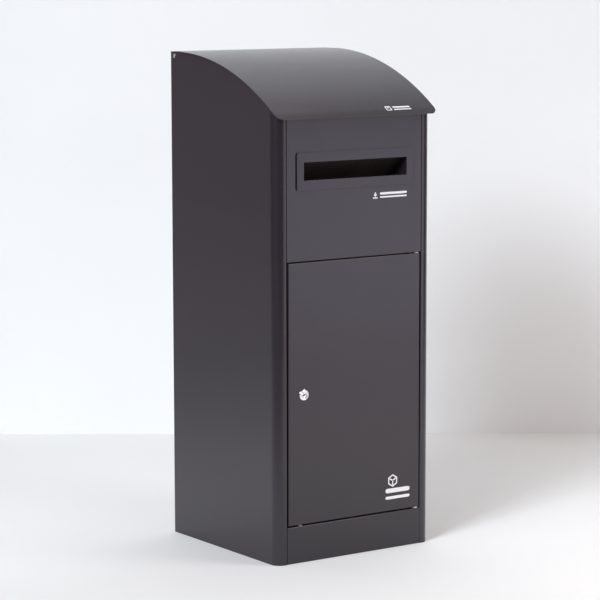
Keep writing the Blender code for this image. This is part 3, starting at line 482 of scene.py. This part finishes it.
def thread(radius, start, end):
    """Profile points of a thread's ridges between two places along a shank."""
    points = []
    along = start
    while along + THREAD_PITCH <= end:
        points += [(radius - THREAD_DEPTH, along), (radius, along + THREAD_PITCH / 2)]
        along += THREAD_PITCH
    return points + [(radius - THREAD_DEPTH, along)]


def prism(name, outline, place, depth, material=None):
    """A closed prism of an outline in the plane of a matrix, from -depth to depth along its normal."""
    bm = bmesh.new()
    low = [bm.verts.new(place @ Vector((u, v, -depth))) for u, v in outline]
    high = [bm.verts.new(place @ Vector((u, v, depth))) for u, v in outline]
    bm.faces.new(low)
    bm.faces.new(high)
    for i in range(len(outline)):
        j = (i + 1) % len(outline)
        bm.faces.new((low[i], low[j], high[j], high[i]))
    return mesh_object(name, bm, material)


def carved(obj, cutter):
    """Cut one mesh out of another and keep the result as plain mesh."""
    boolean = obj.modifiers.new("carve", "BOOLEAN")
    boolean.object = cutter
    boolean.solver = "EXACT"
    mesh = bpy.data.meshes.new_from_object(obj.evaluated_get(bpy.context.evaluated_depsgraph_get()))
    obj.modifiers.clear()
    mesh.name = obj.name
    obj.data = mesh
    bpy.data.objects.remove(cutter)
    return smoothed(obj)


def rounded_slot(length, width, tilt):
    """Outline of a slot with round ends, turned by `tilt`."""
    radius = width / 2
    outline = []
    for sign in (1, -1):
        centre = Vector((sign * (length / 2 - radius), 0))
        for step in range(END_STEPS + 1):
            turn = math.pi * step / END_STEPS - math.pi / 2 + (math.pi if sign < 0 else 0)
            outline.append(centre + Vector((radius * math.cos(turn), radius * math.sin(turn))))
    tilted = Matrix.Rotation(tilt, 2)
    return [tuple(tilted @ point) for point in outline]


def make_lock_barrel(finishes):
    """Lock body with a rolled rim and a threaded barrel."""
    low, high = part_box("lock_barrel")
    length = high.y - low.y
    profile = in_millimetres(LOCK_RIM) + thread(LOCK_NECK, LOCK_THREAD_START, length - LOCK_RUNOUT)
    profile += [(LOCK_NECK - LOCK_END_CHAMFER, length), (LOCK_BORE, length)]
    barrel = turned("lock_barrel_turned", "lock_barrel", "Y", profile, finishes["chrome"])
    stand_in(barrel, "lock_barrel", "door")


def make_lock_plug(finishes):
    """Plug whose face carries the key slot, with a dark plate of painted shade inside the slot."""
    low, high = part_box("lock_plug")
    length = high.y - low.y
    bore, bore_depth = PLUG_BORE
    profile = in_millimetres(PLUG_FACE)
    profile += [(PLUG_RADIUS, length), (bore, length), (bore, length - bore_depth), (0, length - bore_depth)]
    plug = turned("lock_plug_turned", "lock_plug", "Y", profile, finishes["chrome"])
    middle = (Vector(low) + Vector(high)) / 2
    place = Matrix.Translation((middle.x, low.y, middle.z)) @ Matrix.Rotation(math.pi / 2, 4, "X")
    slot_length, width, depth = KEY_SLOT
    carved(plug, prism("key_slot_cutter", rounded_slot(slot_length, width, KEY_SLOT_TILT), place, depth))
    stand_in(plug, "lock_plug", "lock")

    # A dark plate inside the key slot: painted shade.
    outline = rounded_slot(slot_length - SHADE_PLATE_GAP, width - SHADE_PLATE_GAP, KEY_SLOT_TILT)
    behind = Matrix.Translation((0, SHADE_PLATE_DEPTH, 0)) @ place
    shade_plate = prism("lock_key_shutter", outline, behind, SHADE_PLATE_HALF, finishes["overspray"])
    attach(shade_plate, "lock")


def hex_limit(radius):
    """How far a hexagon reaches from its middle at each angle, from the radius of its corners."""
    flats = radius * math.cos(math.tau / 12)

    def reach(turn):
        return flats / math.cos(turn % (math.tau / 6) - math.tau / 12)

    return reach


def nut_profile(radius, shank, height):
    """Chamfered outside, and a threaded bore with a chamfer at each end."""
    start = NUT_CHAMFER_START * radius * math.cos(math.tau / 12)
    drop = (radius - start) * math.tan(NUT_CHAMFER_ANGLE)
    shares = [k / NUT_CHAMFER_STEPS for k in range(NUT_CHAMFER_STEPS + 1)]
    chamfer = [(start + (radius - start) * share, drop * share) for share in shares]
    outside = chamfer + [(reach, height - along) for reach, along in reversed(chamfer)]
    mouth, mouth_depth = NUT_MOUTH
    crest, root = NUT_THREAD
    ridges = max(2, int(height / THREAD_PITCH))
    pitch = (height - 2 * mouth_depth) / ridges
    inside = []
    for k in range(ridges):
        along = height - mouth_depth - pitch * k
        inside += [(shank + crest, along), (shank + root, along - pitch / 2)]
    return ([(shank + mouth, 0)] + outside + [(shank + mouth, height)] + inside
            + [(shank + crest, mouth_depth)])


def make_nut(node_name, axis, sizes, body, finishes):
    """Hexagon nut with chamfered corners and a threaded bore."""
    radius, shank = sizes
    low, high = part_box(node_name)
    index = "XYZ".index(axis)
    profile = nut_profile(radius, shank, high[index] - low[index])
    nut = turned(f"{node_name}_chamfered", node_name, axis, profile, finishes["zinc_plate"],
                 radius_at=hex_limit(radius))
    stand_in(nut, node_name, body)


def make_hinge_bolt(side, finishes):
    """Low domed head with a hexagon socket, a plain neck and a threaded end."""
    node_name = f"lid_hinge_bolt_{side}"
    low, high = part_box(node_name)
    length = high.x - low.x
    profile = in_millimetres(BOLT_HEAD) + thread(BOLT_SHANK, BOLT_THREAD_START, length - BOLT_RUNOUT)
    profile += [(BOLT_SHANK - BOLT_END_CHAMFER, length), (0, length)]
    way = 1 if side == "left" else -1
    bolt = turned(f"{node_name}_domed", node_name, "X", profile, finishes["zinc_plate"], way)
    place = axis_frame("X", (Vector(low) + Vector(high)) / 2, low.x if way > 0 else high.x, way)
    turns = [math.tau * k / 6 for k in range(6)]
    hexagon = [(SOCKET_RADIUS * math.cos(turn), SOCKET_RADIUS * math.sin(turn)) for turn in turns]
    carved(bolt, prism("socket_cutter", hexagon, place, SOCKET_DEPTH))
    stand_in(bolt, node_name, "cabinet")


def make_lid_buffer(side, finishes):
    """Moulded foot with a flange, a waist and a domed top."""
    node_name = f"lid_buffer_{side}"
    low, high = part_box(node_name)
    height = high.z - low.z
    ring, below = BUFFER_TOP
    profile = in_millimetres(BUFFER_FOOT) + [(ring, height - below), (0, height)]
    foot = turned(f"{node_name}_moulded", node_name, "Z", profile, finishes["rubber"])
    stand_in(foot, node_name, "cabinet")


def make_details(finishes):
    make_lock_barrel(finishes)
    make_lock_plug(finishes)
    make_nut("lock_nut", "Y", LOCK_NUT, "door", finishes)
    for side in ("left", "right"):
        make_hinge_bolt(side, finishes)
        make_nut(f"lid_hinge_nut_{side}", "X", HINGE_NUT, "cabinet", finishes)
        make_lid_buffer(side, finishes)


# ---------------------------------------------------------------- printed marks

def on_front(u, v, lift):
    """A point of the front plane from (x, z) in millimetres."""
    return Vector((u * MM, FRONT_Y - lift, v * MM))


def on_lid(u, v, lift):
    """A point of the lid's curve from x and the distance up from its front edge, in millimetres."""
    front = math.asin((LID_AXIS.y - LID_FRONT) / LID_RADIUS)
    angle = front - v * MM / LID_RADIUS
    reach = LID_RADIUS + lift
    return Vector((u * MM, LID_AXIS.y - reach * math.sin(angle), LID_AXIS.z + reach * math.cos(angle)))


def bars(places):
    """Outlines of bars with rounded ends."""
    outlines = []
    for left, bottom, width, height in places:
        radius = height / 2
        points = []
        for centre, start in ((left + width - radius, -90), (left + radius, 90)):
            for step in range(END_STEPS + 1):
                angle = math.radians(start + 180 * step / END_STEPS)
                points.append((centre + radius * math.cos(angle), bottom + radius + radius * math.sin(angle)))
        outlines.append(points)
    return outlines


def band(points, width, closed=False):
    """Quads that thicken a path of straight lines, mitred where they meet."""
    points = [Vector(point) for point in points]
    lines = list(zip(points, points[1:] + points[:1]))
    across = [(end - start).orthogonal().normalized() for start, end in lines]
    sides = []
    for i, point in enumerate(points):
        before = across[i - 1] if closed or i > 0 else across[i]
        after = across[i] if closed or i < len(points) - 1 else across[i - 1]
        mitre = (before + after).normalized()
        mitre *= width / 2 / mitre.dot(before)
        sides.append((tuple(point - mitre), tuple(point + mitre)))
    followers = sides[1:] + sides[:1] if closed else sides[1:]
    return [[first[0], second[0], second[1], first[1]] for first, second in zip(sides, followers)]


def make_print(name, outlines, surface, body, material):
    """Thin raised ink that follows a surface; outlines that share an edge have no wall between them."""
    outlines = [[(round(u, PRINT_DIGITS), round(v, PRINT_DIGITS)) for u, v in outline]
                for outline in outlines]
    sides = [list(zip(outline, outline[1:] + outline[:1])) for outline in outlines]
    uses = Counter(frozenset(side) for outline_sides in sides for side in outline_sides)
    bm = bmesh.new()
    corners = dict.fromkeys(corner for outline in outlines for corner in outline)
    low = {(u, v): bm.verts.new(surface(u, v, PRINT_LIFT)) for u, v in corners}
    high = {(u, v): bm.verts.new(surface(u, v, PRINT_LIFT + PRINT_THICKNESS)) for u, v in corners}
    for outline, outline_sides in zip(outlines, sides):
        bm.faces.new([low[corner] for corner in outline])
        bm.faces.new([high[corner] for corner in outline])
        for first, second in outline_sides:
            if uses[frozenset((first, second))] == 1:
                bm.faces.new((low[first], low[second], high[second], high[first]))
    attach(mesh_object(name, bm, material), body)


def parcel_icon(u, v, size, line):
    """A box seen from the front: a square with a tape line inside its upper half."""
    square = [(u, v), (u + size, v), (u + size, v + size), (u, v + size)]
    middle = u + size / 2
    tape = [(middle, v + size - line / 2 - PRINT_BREAK), (middle, v + size * TAPE_END)]
    return band(square, line, closed=True) + band(tape, TAPE_WIDTH * line)


def insert_icon(u, v, size, line):
    """An arrow down to a line."""
    middle = u + size / 2
    tip = v + ARROW_TIP * size
    head = ARROW_HEAD * size
    ground = [(u, v), (u + size, v)]
    shaft = [(middle, v + size), (middle, tip + TIP_CLEARANCE * line + PRINT_BREAK)]
    point = [(middle - head, tip + head), (middle, tip), (middle + head, tip + head)]
    return band(ground, line) + band(shaft, line) + band(point, line)


def cube_icon(u, v, radius, line):
    """A cube seen from a corner, its three near edges just clear of each other and of the rim."""
    middle = Vector((u, v))
    turns = [math.radians(90 + 60 * k) for k in range(6)]
    ways = [Vector((math.cos(turn), math.sin(turn))) for turn in turns]
    start = SPOKE_START * line + PRINT_BREAK
    end = radius - SPOKE_END * line - PRINT_BREAK
    outlines = band([middle + way * radius for way in ways], line, closed=True)
    for way in (ways[1], ways[3], ways[5]):
        outlines += band([middle + way * start, middle + way * end], line)
    return outlines


def make_prints():
    ink = print_ink()
    make_print("print_lid", parcel_icon(*LID_ICON) + bars(LID_BARS), on_lid, "lid", ink)
    make_print("print_fascia", insert_icon(*FASCIA_ICON) + bars(FASCIA_BARS), on_front, "cabinet", ink)
    make_print("print_door", cube_icon(*DOOR_ICON) + bars(DOOR_BARS), on_front, "door", ink)


# ---------------------------------------------------------------- stage, light and camera

def plane(name, corners, material):
    """A flat sheet of the stage."""
    mesh = bpy.data.meshes.new(name)
    mesh.from_pydata([Vector(corner) for corner in corners], [], [range(len(corners))])
    mesh.materials.append(material)
    obj = bpy.data.objects.new(name, mesh)
    bpy.context.collection.objects.link(obj)


def show_through(material, factor):
    """Make a material clear where a factor is 1."""
    tree = material.node_tree
    clear = tree.nodes.new("ShaderNodeBsdfTransparent")
    mix = tree.nodes.new("ShaderNodeMixShader")
    tree.links.new(factor, mix.inputs["Fac"])
    tree.links.new(tree.nodes["Principled BSDF"].outputs["BSDF"], mix.inputs[1])
    tree.links.new(clear.outputs["BSDF"], mix.inputs[2])
    tree.links.new(mix.outputs["Shader"], tree.nodes["Material Output"].inputs["Surface"])


def one_sided_wall():
    """Wall paint that is seen only from its front, so that it never hides the box from behind."""
    material = stage_material("studio_wall", WALL_COLOUR)
    side = material.node_tree.nodes.new("ShaderNodeNewGeometry")
    show_through(material, side.outputs["Backfacing"])
    return material


def shaded_floor():
    """Floor paint with painted shade that darkens it away from the box on the camera's left; it melts into
    the world far out.
    """
    material = stage_material("studio_floor", FLOOR_COLOUR)
    tree = material.node_tree
    shader = tree.nodes["Principled BSDF"]
    paint = shader.inputs["Base Color"].links[0].from_socket
    start, end, share = FLOOR_SHADE
    along = node(tree, "ShaderNodeVectorMath", operation="DOT_PRODUCT")
    along.inputs[1].default_value = heading(FLOOR_SHADE_AZIMUTH)
    tree.links.new(object_space(tree), along.inputs[0])
    # Painted shade: the floor's colour darkens away from the box on the camera's left.
    floor_shade = spread(tree, along.outputs["Value"], 0, 1, start, end)
    tree.links.new(mixed(tree, floor_shade, paint, shade(FLOOR_COLOUR, share)), shader.inputs["Base Color"])
    distance = node(tree, "ShaderNodeVectorMath", operation="LENGTH")
    tree.links.new(object_space(tree), distance.inputs[0])
    show_through(material, spread(tree, distance.outputs["Value"], 0, 1, *FLOOR_MELT))
    return material


def make_stage():
    reach = FLOOR_REACH
    plane("studio_floor", [(-reach, -reach, 0), (reach, -reach, 0), (reach, reach, 0), (-reach, reach, 0)],
          shaded_floor())
    along = Vector((CAMERA_AWAY.y, -CAMERA_AWAY.x, 0))
    foot = CAMERA_AWAY * WALL_DISTANCE
    left, right = foot - along * WALL_LEFT, foot + along * WALL_RIGHT
    up = Vector((0, 0, WALL_HEIGHT))
    plane("studio_wall", [left, right, right + up, left + up], one_sided_wall())


def area_light(name, place, target, side, watts, colour):
    """A soft square light; a card shows only in reflections."""
    data = bpy.data.lights.new(name, "AREA")
    data.shape = "SQUARE"
    data.size = side
    data.energy = watts
    data.color = colour
    obj = bpy.data.objects.new(name, data)
    bpy.context.collection.objects.link(obj)
    obj.location = place
    obj.rotation_mode = "QUATERNION"
    obj.rotation_quaternion = (target - place).to_track_quat("-Z", "Y")
    obj.visible_camera = False
    obj.visible_diffuse = not name.endswith("card")


def heading(azimuth, elevation=0):
    """Unit vector towards an azimuth, 0 in front of the box and 90 on its right, and an elevation."""
    turn, lift = math.radians(azimuth), math.radians(elevation)
    return Vector((math.sin(turn) * math.cos(lift), -math.cos(turn) * math.cos(lift), math.sin(lift)))


def make_lights():
    world = bpy.data.worlds.new("studio_world")
    bpy.context.scene.world = world
    world.use_nodes = True
    background = world.node_tree.nodes["Background"]
    background.inputs["Color"].default_value = WORLD_COLOUR
    background.inputs["Strength"].default_value = WORLD_STRENGTH
    for name, (azimuth, elevation, distance, side, watts, colour) in LIGHTS.items():
        place = LIGHT_TARGET + heading(azimuth, elevation) * distance
        area_light(name, place, LIGHT_TARGET, side, watts, colour)
    for name, (azimuth, reach, height, side, watts, colour) in FLOOR_LIGHTS.items():
        foot = heading(azimuth) * reach
        area_light(name, foot + Vector((0, 0, height)), foot, side, watts, colour)
    reach, height, aim, side, watts, colour = WALL_LIGHT
    place = CAMERA_AWAY * reach + Vector((0, 0, height))
    area_light("wall_high", place, CAMERA_AWAY * WALL_DISTANCE + Vector((0, 0, aim)), side, watts, colour)


def make_camera():
    data = bpy.data.cameras.new("camera")
    data.lens = LENS
    data.sensor_width = SENSOR
    obj = bpy.data.objects.new("camera", data)
    bpy.context.collection.objects.link(obj)
    up = CAMERA_RIGHT.cross(CAMERA_FORWARD)
    axes = Matrix((CAMERA_RIGHT, up, -CAMERA_FORWARD)).transposed()
    obj.matrix_world = Matrix.Translation(CAMERA_PLACE) @ axes.to_4x4()
    bpy.context.scene.camera = obj
    bpy.context.scene.view_settings.view_transform = "Standard"


FINISHES = {"powder_coat": powder_coat(), "zinc_plate": zinc_plate(), "chrome": chrome(), "nylon": nylon(),
            "rubber": rubber(), "overspray": painted_shade_finish()}
dress_nodes(FINISHES)
make_details(FINISHES)
make_prints()
make_stage()
make_lights()
make_camera()
